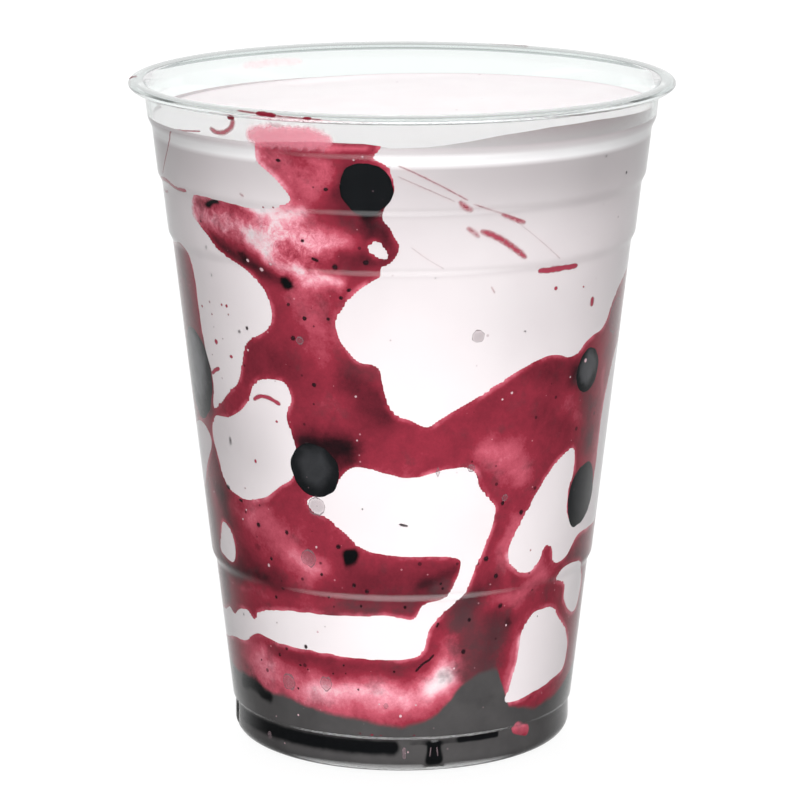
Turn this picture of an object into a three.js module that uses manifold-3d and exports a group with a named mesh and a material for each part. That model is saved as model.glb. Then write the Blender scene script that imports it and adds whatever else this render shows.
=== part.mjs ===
// A blueberry milkshake in its clear, round, 16-ounce plastic cup. Dark blueberry sauce fills the
// bottom, coats the inside of the wall in swirls, and leaves windows where the pale shake touches it.
// Millimetres. The cup stands on z = 0, its axis is +Z, and the side that is seen first faces -Y.

import * as THREE from 'three';
import { mergeVertices } from 'three/addons/utils/BufferGeometryUtils.js';
import Module from 'manifold-3d';

const wasm = await Module();
wasm.setup();

// ---- driving dimensions -------------------------------------------------------------------

const turnSteps = 36;            // flat sides of everything round, all cut at the same angles
const gap = 0.3;                 // air kept between two pieces that touch

const cup = {
  height: 121,
  thickness: 0.8,
  rimRadius: 49,                 // to the outside of the rolled lip
  lipHalfWidth: 1.5,
  lipHalfHeight: 0.83,
  wallStart: { radius: 31.25, height: 7.1 },
  taper: 0.1125,                 // mm outwards for each mm up
  ringHeights: [32.4, 91.7, 102.4, 112.3],   // stiffening steps pressed into the wall
  ringRise: 2.3,
  ringStep: 0.58,
};

const foot = {
  radius: 30.8,
  height: 5.9,
  corner: 2.6,
  panelRadius: 25.4,             // the middle of the base is pushed up
  panelHeight: 3.2,
  panelSlope: 1.4,
};

const shake = {
  level: 115,
  lean: 1.2,                     // the surface is this much higher at +X, and lower at -X
  poolHeight: 10,                // below this everything is sauce
};

const sauceDepth = 3;            // how far the swirls reach in from the wall
const outlineStep = 7;            // length of one side of an outline on the wall

// Windows in the sauce, where the shake lies against the wall: closed outlines of
// [angle in degrees, height in mm], the angle counted from the front (-Y) towards +X.
const windows = {
  leftShoulder: [[-94, 119], [-33, 119], [-26, 106], [-36, 103], [-58, 103], [-57, 98], [-39, 91.5],
    [-34.5, 85], [-44, 78], [-48, 71], [-60, 65.5], [-64, 78], [-66, 94], [-94, 97]],
  rightShoulder: [[-4.5, 119], [-2, 108], [-4, 103.5], [-0.5, 97.5], [-5, 93], [-15, 88], [-16.5, 82],
    [-6, 75.5], [-3, 69], [6, 65], [32, 74], [47, 76], [62, 79], [74, 86], [94, 88], [94, 119]],
  leftWindow: [[-64, 60], [-46, 67], [-39, 72], [-31, 71.5], [-30, 57], [-40, 50.5], [-57, 49]],
  leftEdge: [[-82, 47], [-67, 58], [-74, 61], [-92, 54]],
  leftOval: [[-69.5, 36.5], [-65, 42.5], [-58.5, 38], [-63, 35.2]],
  middleWindow: [[-27.3, 50.3], [-14, 57.6], [4, 56], [18, 57.5], [27, 50], [24, 41], [19, 34.5],
    [16.5, 40.5], [-3, 41.5], [-15, 44]],
  lowerStreak: [[-86, 24], [-52, 27], [-26, 29.8], [4, 29.8], [18, 36.5], [21, 36], [5, 22.5],
    [-40, 22], [-86, 18]],
  rightWindow: [[55, 57.5], [54.5, 48], [62, 45.5], [69.5, 49], [72.5, 60], [76, 74], [94, 74], [94, 42],
    [62, 40], [52, 36.6], [46.5, 40], [40, 36.2], [32.5, 39], [42, 51.5]],
  rightPatch: [[53.5, 33.5], [70, 34.5], [76, 29], [68, 25], [60, 30]],
  teardrop: [[48, 28.2], [58, 27], [69, 18], [62, 13.5], [36, 12], [39.5, 20]],
  backRightShoulder: [[88, 119], [88, 88], [106, 85], [124, 66], [140, 64], [154, 88], [182, 104], [190, 119]],
  backLeftShoulder: [[182, 119], [204, 94], [220, 83], [236, 84], [256, 95], [274, 91], [274, 119]],
  backRightWindow: [[98, 62], [112, 64], [126, 52], [118, 44], [104, 50]],
  backWindow: [[150, 56], [168, 68], [196, 68], [202, 56], [184, 50], [164, 44]],
  backLeftWindow: [[216, 66], [236, 72], [256, 66], [262, 54], [240, 54], [222, 50]],
  backStreak: [[98, 26], [132, 34], [192, 38], [198, 32], [140, 22], [106, 18]],
  backPatch: [[212, 36], [236, 40], [256, 32], [246, 21], [224, 22]],
};

// Whole berries pressed flat against the wall: angle and height of the middle, and the half sizes
// round the cup, upwards and inwards.
const berryPress = 2;            // how much of a berry's depth the wall takes
const berries = {
  berry_crown: { angle: -8, height: 108.3, half: [5.6, 6, 5.4] },
  berry_left: { angle: -71.5, height: 71, half: [8.2, 11.4, 5.6] },
  berry_middle: { angle: -24.5, height: 57, half: [5.4, 6.2, 5] },
  berry_right_high: { angle: 58, height: 72, half: [4.2, 4.8, 4.2] },
  berry_right_low: { angle: 63, height: 48.6, half: [6.8, 6.5, 5.6] },
  berry_back_right: { angle: 112, height: 76, half: [6, 5.6, 5.4] },
  berry_back: { angle: 206, height: 78, half: [5.6, 6, 5.2] },
  berry_back_low: { angle: 144, height: 44, half: [6, 5.6, 5.2] },
};

// ---- the cup's wall, as radius over height -------------------------------------------------

function wallRadius(z) {
  const { wallStart, taper, ringHeights, ringRise, ringStep } = cup;
  let radius = wallStart.radius + taper * (z - wallStart.height);
  for (const start of ringHeights) {
    radius += ringStep * THREE.MathUtils.clamp((z - start) / ringRise, 0, 1);
  }
  return radius;
}

// From the foot's rounded corner up the wall, set in from its outside, with a point at each height.
function sideProfile(inset, heights) {
  const points = [];
  const cornerSteps = 2;
  for (let i = 0; i <= cornerSteps; i++) {
    const turn = (-Math.PI / 2) * (1 - i / cornerSteps);
    const reach = foot.corner - inset;
    points.push([foot.radius - foot.corner + reach * Math.cos(turn), foot.corner + reach * Math.sin(turn)]);
  }
  points.push([foot.radius - inset, foot.height]);
  points.push([cup.wallStart.radius - inset, cup.wallStart.height]);
  for (const z of heights) points.push([wallRadius(z) - inset, z]);
  return points;
}

// From the axis out to the foot's corner, over the panel that is pushed up.
function baseProfile(inset) {
  const slopeShift = 0.65 * inset;
  return [
    [0, foot.panelHeight + inset],
    [foot.panelRadius + slopeShift, foot.panelHeight + inset],
    [foot.panelRadius + foot.panelSlope + slopeShift, inset],
  ];
}

// ---- geometry helpers ----------------------------------------------------------------------

function lathe(points, steps = turnSteps) {
  return new THREE.LatheGeometry(points.map(([r, z]) => new THREE.Vector2(r, z)), steps)
    .rotateX(Math.PI / 2);
}

function toSolid(geometry) {
  const shape = geometry.clone();
  shape.deleteAttribute('normal');
  shape.deleteAttribute('uv');
  const merged = mergeVertices(shape, 1e-4);
  return new wasm.Manifold(new wasm.Mesh({
    numProp: 3,
    vertProperties: new Float32Array(merged.attributes.position.array),
    triVerts: new Uint32Array(merged.index.array),
  }));
}

function toGeometry(solid) {
  const mesh = solid.getMesh();
  const geometry = new THREE.BufferGeometry();
  geometry.setAttribute('position', new THREE.BufferAttribute(new Float32Array(mesh.vertProperties), 3));
  geometry.setIndex(new THREE.BufferAttribute(new Uint32Array(mesh.triVerts), 1));
  geometry.computeVertexNormals();
  return geometry;
}

// Leans a filling's flat top: points on it move up or down with their distance along X.
function tiltTop(geometry) {
  const position = geometry.attributes.position;
  for (let i = 0; i < position.count; i++) {
    if (position.getZ(i) > shake.level - 0.01) {
      position.setZ(i, shake.level + (shake.lean * position.getX(i)) / wallRadius(shake.level));
    }
  }
  return geometry;
}

// Draws a closed outline in by a distance, so that every side keeps its direction.
function drawIn(points, distance) {
  const turn = THREE.ShapeUtils.isClockWise(points) ? -1 : 1;
  const normals = points.map((point, i) => {
    const side = points[(i + 1) % points.length].clone().sub(point).normalize();
    return new THREE.Vector2(-side.y, side.x).multiplyScalar(turn);
  });
  return points.map((point, i) => {
    const before = normals.at(i - 1);
    const middle = before.clone().add(normals[i]).normalize();
    return point.clone().addScaledVector(middle, distance / middle.dot(before));
  });
}

// A closed outline on the wall, cut out as a wedge that points at the cup's axis. A positive
// shrink draws the outline in all round by that many millimetres.
function wallWedge(outline, shrink) {
  const midRadius = 38;
  const reach = [16, 130];
  const arcPerDegree = THREE.MathUtils.degToRad(midRadius);
  const curve = new THREE.CatmullRomCurve3(
    outline.map(([angle, z]) => new THREE.Vector3(angle * arcPerDegree, z, 0)), true, 'centripetal');
  const sides = Math.max(outline.length, Math.round(curve.getLength() / outlineStep));
  const points = curve.getSpacedPoints(sides).slice(1).map(({ x, y }) => new THREE.Vector2(x, y));
  const geometry = new THREE.ExtrudeGeometry(new THREE.Shape(drawIn(points, shrink)), {
    depth: reach[1] - reach[0], bevelEnabled: false,
  });
  const position = geometry.attributes.position;
  for (let i = 0; i < position.count; i++) {
    const angle = position.getX(i) / midRadius;
    const radius = reach[0] + position.getZ(i);
    position.setXYZ(i, radius * Math.sin(angle), -radius * Math.cos(angle), position.getY(i));
  }
  return toSolid(geometry);
}

function allWedges(shrink) {
  return wasm.Manifold.union(Object.values(windows).map((outline) => wallWedge(outline, shrink)));
}

// ---- the pieces ----------------------------------------------------------------------------

function makeCup() {
  const lipSteps = 8;
  const lipMiddle = [cup.rimRadius - cup.lipHalfWidth, cup.height - cup.lipHalfHeight];
  const lip = [];
  for (let i = 0; i <= lipSteps; i++) {
    const turn = THREE.MathUtils.degToRad(-140 + (290 * i) / lipSteps);
    lip.push([lipMiddle[0] + cup.lipHalfWidth * Math.cos(turn), lipMiddle[1] + cup.lipHalfHeight * Math.sin(turn)]);
  }
  const wallTop = cup.height - 2.6 * cup.lipHalfHeight;
  const heights = [...cup.ringHeights.flatMap((start) => [start, start + cup.ringRise]), wallTop];
  const [outside, inside] = [0, cup.thickness].map(
    (inset) => [...baseProfile(inset), ...sideProfile(inset, heights)]);
  return lathe([...outside, ...lip, ...inside.reverse()]);
}

const contentInset = cup.thickness + gap;
const coreInset = contentInset + sauceDepth;

// Everything inside the cup up to the shake's surface, set in from the outer wall.
function filling(inset, bottom) {
  const points = [...baseProfile(inset), ...sideProfile(inset, cup.ringHeights)].filter(([, z]) => z > bottom);
  const start = bottom > 0 ? [[0, bottom], [wallRadius(bottom) - inset, bottom]] : [];
  const top = [[wallRadius(shake.level - shake.lean) - inset, shake.level], [0, shake.level]];
  return toSolid(tiltTop(lathe([...start, ...points, ...top])));
}

// The middle of the filling, behind the swirls: a plain cone that runs out past the surface.
function core(inset, bottom) {
  const top = shake.level + 2 * shake.lean;
  const ends = [bottom, top].map((z) => [wallRadius(z) - inset, z]);
  return toSolid(lathe([[0, bottom], ...ends, [0, top]], turnSteps / 2));
}

function berrySolid({ angle, height, half }, grow) {
  const [around, up, inward] = half;
  const distance = wallRadius(height) - contentInset - inward + berryPress;
  return toSolid(new THREE.SphereGeometry(1, 12, 7)
    .rotateX(Math.PI / 2)
    .scale(around + grow, inward + grow, up + grow)
    .translate(0, -distance, height)
    .rotateZ(THREE.MathUtils.degToRad(angle)));
}

// The room that the berries need in the sauce and the shake.
function berryPockets() {
  return wasm.Manifold.union(Object.values(berries).map((berry) => berrySolid(berry, gap)));
}

function makeBerry(berry) {
  return toGeometry(berrySolid(berry, 0).intersect(filling(contentInset, 0)));
}

function makeSauce() {
  const pool = filling(contentInset, 0).subtract(core(coreInset, shake.poolHeight));
  return toGeometry(pool.subtract(allWedges(0)).subtract(berryPockets()));
}

function makeShake() {
  const bottom = shake.poolHeight + gap;
  const behindSwirls = core(coreInset + gap, bottom - 1).add(allWedges(gap));
  return toGeometry(filling(contentInset, bottom).intersect(behindSwirls).subtract(berryPockets()));
}

// ---- materials and the scene graph ---------------------------------------------------------

const clearPlastic = new THREE.MeshStandardMaterial({
  color: 0xe6eded, roughness: 0.08, metalness: 0, transparent: true, opacity: 0.35,
});
const milkshake = new THREE.MeshStandardMaterial({ color: 0xf6eeee, roughness: 0.45, metalness: 0 });
const blueberrySauce = new THREE.MeshStandardMaterial({ color: 0x7d1c30, roughness: 0.3, metalness: 0 });
const berrySkin = new THREE.MeshStandardMaterial({ color: 0x14191d, roughness: 0.35, metalness: 0 });

const object = new THREE.Group();

function addPiece(name, geometry, material) {
  const mesh = new THREE.Mesh(geometry, material);
  mesh.name = name;
  object.add(mesh);
}

addPiece('cup', makeCup(), clearPlastic);
addPiece('milkshake', makeShake(), milkshake);
addPiece('blueberry_sauce', makeSauce(), blueberrySauce);
for (const [name, berry] of Object.entries(berries)) {
  addPiece(name, makeBerry(berry), berrySkin);
}

export default object;
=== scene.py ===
import math
import bmesh
import bpy
import numpy as np
from mathutils import Matrix, Vector, noise
from mathutils.kdtree import KDTree


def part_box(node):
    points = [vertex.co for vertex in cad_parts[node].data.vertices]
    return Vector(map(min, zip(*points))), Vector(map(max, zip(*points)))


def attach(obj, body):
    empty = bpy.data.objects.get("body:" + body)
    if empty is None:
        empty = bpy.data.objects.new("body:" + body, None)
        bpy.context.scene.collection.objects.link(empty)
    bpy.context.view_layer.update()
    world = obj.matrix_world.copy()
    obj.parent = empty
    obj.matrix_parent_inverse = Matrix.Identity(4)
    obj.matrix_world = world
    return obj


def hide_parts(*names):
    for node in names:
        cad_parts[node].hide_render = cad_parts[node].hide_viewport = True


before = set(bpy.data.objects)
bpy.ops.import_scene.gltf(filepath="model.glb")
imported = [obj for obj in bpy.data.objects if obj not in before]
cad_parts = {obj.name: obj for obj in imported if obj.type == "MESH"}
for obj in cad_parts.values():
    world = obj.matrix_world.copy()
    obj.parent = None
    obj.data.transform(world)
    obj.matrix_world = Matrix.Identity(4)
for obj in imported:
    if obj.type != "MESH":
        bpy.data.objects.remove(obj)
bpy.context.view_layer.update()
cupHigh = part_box("cup")[1]

# A blueberry milkshake in a clear cup. Lengths in the dictionaries are millimetres, and a place on
# the wall is (angle in degrees from the front towards +X, height).
mm = 0.001
noise.seed_set(5)  # unset, vector noise is drawn from the clock


# The cup's wall.

cup = {
    "height": cupHigh.z / mm,
    "rimRadius": cupHigh.x / mm,
    "thickness": 0.8,
    "lipHalfWidth": 1.5,
    "lipHalfHeight": 0.83,
    "lipThickness": 0.42,
    "wallStart": (31.25, 7.1),  # radius and height
    "taper": 0.1125,  # outwards for each millimetre up
    "rings": (32.4, 91.7, 102.4, 112.3),
    "ringRise": 2.3,
    "ringStep": 0.58,
    "footRadius": 30.8,
    "footHeight": 6,
    "ledgeRise": 0.7,
    "footCorner": 2.6,
    "panelRadius": 25.4,  # the middle of the base is pushed up
    "panelHeight": 3.2,
    "panelSlope": 1.4,
    "panelBend": 0.65,  # of the wall's thickness, by which the panel's inside is wider
    "turnSteps": 360,
    "cornerSteps": 8,
    "footSteps": 6,
    "ledgeSteps": 6,
}

midRadius = 38  # where outlines are unrolled


def smooth(value):  # 0 to 1 with soft ends
    value = min(max(value, 0), 1)
    return value * value * (3 - 2 * value)


def wallRadius(z):  # outside of the wall
    radius = cup["wallStart"][0] + cup["taper"] * (z - cup["wallStart"][1])
    for start in cup["rings"]:
        radius += cup["ringStep"] * smooth((z - start) / cup["ringRise"])
    return radius


def sideProfile(inset, heights):  # from the foot's corner up the wall
    points = []
    reach = cup["footCorner"] - inset
    for i in range(cup["cornerSteps"] + 1):
        turn = -math.pi / 2 * (1 - i / cup["cornerSteps"])
        points.append((cup["footRadius"] - cup["footCorner"] + reach * math.cos(turn),
                       cup["footCorner"] + reach * math.sin(turn)))
    footHeights = np.linspace(cup["footCorner"], cup["footHeight"], cup["footSteps"] + 1)[1:]
    points += [(cup["footRadius"] - inset, z) for z in footHeights]
    for i in range(cup["ledgeSteps"] + 1):
        share = i / cup["ledgeSteps"]
        radius = cup["footRadius"] + (cup["wallStart"][0] - cup["footRadius"]) * smooth(share)
        points.append((radius - inset, cup["wallStart"][1] + cup["ledgeRise"] * (share - 1)))
    return points + [(wallRadius(z) - inset, z) for z in heights]


def baseProfile(inset):  # from the axis out to the foot's corner
    shift = cup["panelBend"] * inset
    return [(0, cup["panelHeight"] + inset),
            (cup["panelRadius"] + shift - 1, cup["panelHeight"] + inset),
            (cup["panelRadius"] + shift, cup["panelHeight"] + inset - 0.25),
            (cup["panelRadius"] + cup["panelSlope"] + shift - 0.2, inset + 0.35),
            (cup["panelRadius"] + cup["panelSlope"] + shift + 0.5, inset)]


def ringHeights(low, high, step):  # heights up the wall, closer together over the steps in it
    beside, clear, ringRows = 0.3, 0.4, 9
    heights = list(np.arange(low, high, step))
    for start in cup["rings"]:
        end = start + cup["ringRise"]
        heights = [z for z in heights if not start - clear < z < end + clear]
        heights += list(np.linspace(start - beside, end + beside, ringRows))
    return sorted(z for z in heights if z < high) + [high]


# Making meshes.

def place(angle, height, radius):  # a point from its angle, height and distance from the axis
    turn = math.radians(angle)
    return Vector((radius * math.sin(turn), -radius * math.cos(turn), height)) * mm


def newPiece(bm, name):
    bmesh.ops.remove_doubles(bm, verts=bm.verts, dist=0.002 * mm)
    bmesh.ops.recalc_face_normals(bm, faces=bm.faces)
    mesh = bpy.data.meshes.new(name)
    bm.to_mesh(mesh)
    bm.free()
    mesh.polygons.foreach_set("use_smooth", [True] * len(mesh.polygons))
    piece = bpy.data.objects.new(name, mesh)
    bpy.context.scene.collection.objects.link(piece)
    return piece


def turned(profile, name, steps):  # a profile of (radius, height) spun round the cup's axis
    slices = 8  # one slice is spun, then doubled until the turn is full
    bm = bmesh.new()
    verts = [bm.verts.new((radius * mm, 0, height * mm)) for radius, height in profile]
    edges = [bm.edges.new(pair) for pair in zip(verts, verts[1:])]
    bmesh.ops.spin(bm, geom=verts + edges, axis=(0, 0, 1), cent=(0, 0, 0), dvec=(0, 0, 0),
                   angle=math.tau / slices, steps=steps // slices, use_merge=False,
                   use_normal_flip=False, use_duplicate=False)
    turn = math.tau / slices
    while slices > 1:
        copy = bmesh.ops.duplicate(bm, geom=bm.verts[:] + bm.edges[:] + bm.faces[:])
        moved = [part for part in copy["geom"] if isinstance(part, bmesh.types.BMVert)]
        bmesh.ops.rotate(bm, verts=moved, cent=(0, 0, 0), matrix=Matrix.Rotation(turn, 3, "Z"))
        turn *= 2
        slices //= 2
    return newPiece(bm, name)


def applyModifiers(piece):
    graph = bpy.context.evaluated_depsgraph_get()
    mesh = bpy.data.meshes.new_from_object(piece.evaluated_get(graph))
    piece.modifiers.clear()
    old = piece.data
    piece.data = mesh
    bpy.data.meshes.remove(old)


def carve(piece, tools):  # takes the tools' shapes out of the piece
    for tool in tools:
        step = piece.modifiers.new("carve", "BOOLEAN")
        step.operation = "DIFFERENCE"
        step.solver = "MANIFOLD"
        step.object = tool
    applyModifiers(piece)


def sharpen(piece):  # steep edges stay crisp in the shading
    crisp = 40  # degrees
    piece.data.set_sharp_from_angle(angle=math.radians(crisp))


def dropPieces(pieces):
    for piece in pieces:
        mesh = piece.data
        bpy.data.objects.remove(piece)
        bpy.data.meshes.remove(mesh)


def smoothLine(points, step, closed=True):
    # a smooth line through the points, with a point about every step
    corners = [Vector(point) for point in points]
    if not closed:
        corners = [2 * corners[0] - corners[1]] + corners + [2 * corners[-1] - corners[-2]]
    spans = range(len(corners)) if closed else range(1, len(corners) - 2)
    line = []
    for i in spans:
        p0, p1, p2, p3 = (corners[(i + k) % len(corners)] for k in (-1, 0, 1, 2))
        t1 = (p1 - p0).length ** 0.5
        t2 = t1 + (p2 - p1).length ** 0.5
        t3 = t2 + (p3 - p2).length ** 0.5
        count = max(1, round((p2 - p1).length / step))
        for k in range(count):
            t = t1 + (t2 - t1) * k / count
            a1 = p0 * (t1 - t) / t1 + p1 * t / t1
            a2 = p1 * (t2 - t) / (t2 - t1) + p2 * (t - t1) / (t2 - t1)
            a3 = p2 * (t3 - t) / (t3 - t2) + p3 * (t - t2) / (t3 - t2)
            b1 = a1 * (t2 - t) / t2 + a2 * t / t2
            b2 = a2 * (t3 - t) / (t3 - t1) + a3 * (t - t1) / (t3 - t1)
            line.append(b1 * (t2 - t) / (t2 - t1) + b2 * (t - t1) / (t2 - t1))
    return line if closed else line + [corners[-2]]


def wallLine(outline, step, wiggle):
    # an outline on the wall, unrolled to (length round the cup, height), with a restless edge
    arc = math.radians(midRadius)
    line = smoothLine([(angle * arc, height) for angle, height in outline], step)
    restless = []
    for i, point in enumerate(line):
        along = (line[(i + 1) % len(line)] - line[i - 1]).normalized()
        across = Vector((-along.y, along.x))
        push = noise.noise(Vector((point.x / 2.6, point.y / 2.6, 4)))
        push += 0.2 * noise.noise(Vector((point.x / 1.3, point.y / 1.3, 9)))
        restless.append(point + across * push * wiggle)
    return restless


def onWall(point, radius):  # from the unrolled wall back onto the cup
    return place(math.degrees(point[0] / midRadius), point[1], radius)


# The sauce's outlines.

outlineStep = 0.6
outlineWiggle = 0.25

# Where the shake lies against the wall, between the swirls of sauce.
windows = {
    "leftShoulder": [
        (-94, 119), (-70, 119), (-33.5, 119), (-34, 112), (-29, 108.5), (-26, 105.5), (-29, 104),
        (-36, 103), (-47, 103.6), (-58, 103.2), (-59.5, 100), (-54, 97), (-50, 94.6), (-44, 92.6),
        (-40, 91), (-35.5, 88), (-34.3, 85), (-35, 82), (-39, 80), (-43, 78.5), (-45, 76), (-48, 71),
        (-55, 67), (-61.5, 64.3), (-60.5, 69), (-63.5, 77), (-64.5, 88), (-66.5, 91.6), (-70, 93.4),
        (-76, 93), (-84, 92), (-94, 92.6)],
    "rightShoulder": [
        (-5.2, 119), (-4.6, 115.4), (-6.2, 113.6), (-3, 111.6), (-1.8, 108.4), (-4.4, 103.4),
        (-2.4, 100.4), (-0.6, 97.6), (-2.6, 95), (-5, 93.8), (-5.4, 92.4), (-9, 90.6), (-13.5, 87.6),
        (-16.6, 83.6), (-15, 79.8), (-11, 77), (-6, 75.8), (-4.6, 71), (-1.5, 67.4), (2, 66.6),
        (7, 65.2), (11, 66.8), (16, 68.6), (24, 71.6), (33, 74.6), (42, 76.2), (50, 75), (57, 77.6),
        (64, 78.6), (71, 84), (80, 87), (94, 88), (94, 119)],
    "pearl": [
        (-8, 97.4), (-6, 98.6), (-3.4, 97), (-3.4, 95.6), (-5.4, 95.6)],
    "leftWindow": [
        (-64.5, 59.5), (-61, 62.6), (-54, 63.5), (-46, 66.4), (-43, 70), (-40, 71.6), (-32, 72),
        (-30, 69.4), (-32, 66), (-29.6, 60), (-30.8, 55.4), (-36, 52.6), (-42, 50), (-51, 48.7),
        (-59.5, 50.4), (-62, 53.6)],
    "leftEdge": [
        (-82, 47), (-72, 52.6), (-66, 57.4), (-71, 60), (-80, 59.2), (-92, 54)],
    "leftOval": [
        (-69.5, 36.6), (-67, 40.6), (-64, 42.6), (-60, 41.6), (-58.4, 37.8), (-61, 35.6), (-66, 35.8)],
    "middleWindow": [
        (-27.3, 50.5), (-20, 53), (-13, 57.7), (-3, 56.4), (4, 56), (9, 56.7), (14, 57.5), (20, 56.6),
        (22.4, 53), (27, 49.4), (25.6, 45), (24, 42), (21.6, 38.6), (20.4, 36.4), (18.6, 34), (12, 30),
        (8.5, 27.5), (6.4, 23.4), (2, 22), (-13, 21.7), (-28, 22.2), (-43, 22.5), (-53, 23),
        (-60, 20.8), (-70, 20), (-80, 18.8), (-88, 18.6), (-87, 22.4), (-75, 24.6), (-70, 25.5),
        (-66, 24.8), (-62, 26.4), (-57, 27), (-53, 25.6), (-51, 27.2), (-38, 29), (-18, 29.6),
        (-3, 30), (3.5, 29.5), (6.6, 32), (13, 33.5), (16, 36.8), (17, 40.2), (13, 41), (-3, 41.5),
        (-11, 42.5), (-17, 45.6), (-22, 48), (-25.4, 48.4)],
    "rightWindow": [
        (55, 57.5), (56.2, 53.6), (54.5, 49), (56, 44.6), (62, 43.4), (69.5, 45), (71.6, 52),
        (71.4, 60), (73, 66), (77, 71.4), (83, 73.6), (89, 71.6), (93, 65), (94, 56), (92.6, 48),
        (88, 42.4), (81, 40.6), (72, 40.4), (62, 40), (57, 37), (51, 36.8), (49, 39.6), (46.5, 40.4),
        (43.6, 37.6), (40, 36.2), (35, 37.2), (32, 40), (34, 44), (41, 51), (48, 56)],
    "rightPatch": [
        (53.5, 33.6), (57, 35), (66, 35), (72, 33), (76, 29), (72, 25), (66, 25.5), (61, 28.4),
        (60, 31.4)],
    "teardrop": [
        (49.5, 28.2), (55, 27.5), (60, 24.5), (65, 22), (68.4, 18.4), (67, 14.8), (60, 13.6),
        (48, 12.2), (36, 12), (37.4, 15), (39.4, 19), (40.6, 24.6), (44.4, 27.6)],
    "backRightShoulder": [
        (88, 119), (88, 88), (106, 85), (116, 76), (124, 66), (132, 63), (141, 65), (148, 77),
        (156, 89), (166, 94.4), (174, 101), (178, 105.6), (184, 108.6), (190, 109.4), (190, 119)],
    "backLeftShoulder": [
        (184, 119), (184, 109), (188, 107.6), (192, 104), (196, 100), (202, 94), (210, 87),
        (222, 82.6), (236, 84), (246, 90), (256, 95), (266, 93), (274, 91), (274, 119)],
    "backRightWindow": [
        (98, 62), (106, 65), (114, 63.6), (122, 57), (126, 51), (118, 44), (110, 45), (103, 50)],
    "backWindow": [
        (150, 56), (158, 63), (168, 68), (182, 70), (196, 67), (203, 57), (194, 52), (184, 50),
        (174, 47), (164, 44), (155, 48)],
    "backLeftWindow": [
        (214, 65), (224, 70), (236, 72), (248, 70), (256, 66), (262, 55), (250, 52), (240, 54),
        (230, 51), (220, 51)],
    "backStreak": [
        (98, 26), (114, 31), (132, 34), (160, 35), (180, 38.6), (192, 38), (199, 33), (186, 29),
        (160, 25), (140, 22), (122, 18.6), (106, 18)],
    "backPatch": [
        (212, 36), (224, 40), (236, 40), (248, 37), (257, 30), (246, 21), (234, 23), (222, 23)],
}

outlines = {name: wallLine(outline, outlineStep, outlineWiggle) for name, outline in windows.items()}


def wedge(line, name):  # an outline on the wall, as a wedge out from the cup's axis
    near, far = 12, 130
    bm = bmesh.new()
    face = bm.faces.new([bm.verts.new(onWall(point, near)) for point in line])
    grown = bmesh.ops.extrude_face_region(bm, geom=[face])
    for vert in grown["geom"]:
        if isinstance(vert, bmesh.types.BMVert):
            scale = far / near
            vert.co = Vector((vert.co.x * scale, vert.co.y * scale, vert.co.z))
    bmesh.ops.triangulate(bm, faces=bm.faces)
    return newPiece(bm, name)


# The contents.

contents = {
    "intoWall": 0.06,  # sauce and berries reach this far into the wall
    "shakeBehind": 0.05,  # the shake's face lies this far behind the sauce's
    "level": 115,
    "lean": 1.2,  # the surface is this much higher at +X, and lower at -X
    "sauceRows": 0.62,  # between rows of faces up the wall
    "sauceSteps": 400,  # faces round the cup
    "shakeRows": 1.0,
    "shakeSteps": 320,
    "coreRows": 40,
    "coreSteps": 90,
    "coreAbove": 6,  # the hollow in the sauce is cut from this far above the surface
    "sauceDepth": 3,
    "sauceThinned": (105, 113),  # between these heights the sauce thins out towards the surface
    "thinDepth": 0.9,
    "sauceProud": 0.12,  # sauce stands this far out of the shake's surface
    "poolHeight": 10,
}

# Height of the shake's edge against the wall, at angles round the cup.
edgeHeights = [
    (-180, 115.2), (-140, 114.6), (-100, 114.2), (-60, 114.3), (-45, 114.4), (-38, 114.2), (-32, 115),
    (-20, 115.7), (-8, 115.6), (-2, 115), (6, 115.2), (14, 115.9), (22, 116.8), (34, 117.5), (48, 117.7),
    (62, 117.3), (78, 116.8), (100, 116.4), (140, 115.8), (180, 115.2)]


def edgeHeight(angle):
    angles, heights = zip(*edgeHeights)
    return float(np.interp((angle + 180) % 360 - 180, angles, heights))


def surfaceHeight(x, y):  # of the shake's top, all in millimetres
    rough = noise.noise(Vector((x / 14, y / 14, 2))) * 0.5 + noise.noise(Vector((x / 5, y / 5, 7))) * 0.16
    sunken, climbStart, climbWidth, climbCurve = 0.5, 5.2, 4.4, 1.6
    wall = wallRadius(contents["level"])
    middle = contents["level"] - sunken + contents["lean"] * x / wall + rough
    nearWall = smooth((math.hypot(x, y) - (wall - climbStart)) / climbWidth)
    edge = edgeHeight(math.degrees(math.atan2(x, -y)))
    return middle + (edge - middle) * nearWall ** climbCurve


def fillTop(piece, proud=0):  # moves the flat top of a filling to the shake's surface
    flatTop = contents["level"] - 0.01
    for vert in piece.data.vertices:
        if vert.co.z > flatTop * mm:
            vert.co.z = (surfaceHeight(vert.co.x / mm, vert.co.y / mm) + proud) * mm


def fillingProfile(inset, rows, low):  # everything inside the cup up to the surface
    top = contents["level"]
    side = sideProfile(inset, ringHeights(cup["wallStart"][1] + rows, top, rows))
    points = [point for point in baseProfile(inset) + side if point[1] > low]
    start = [(0, low), (wallRadius(low) - inset, low)] if low > 0 else []
    topRadius = wallRadius(top) - inset
    inward = [(topRadius * share, top) for share in (0.99, 0.975, 0.955, 0.93, 0.9, 0.86, 0.82)]
    inward += [(topRadius * share, top) for share in np.arange(0.77, 0.02, -0.05)]
    return start + points + inward + [(0, top)]


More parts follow.
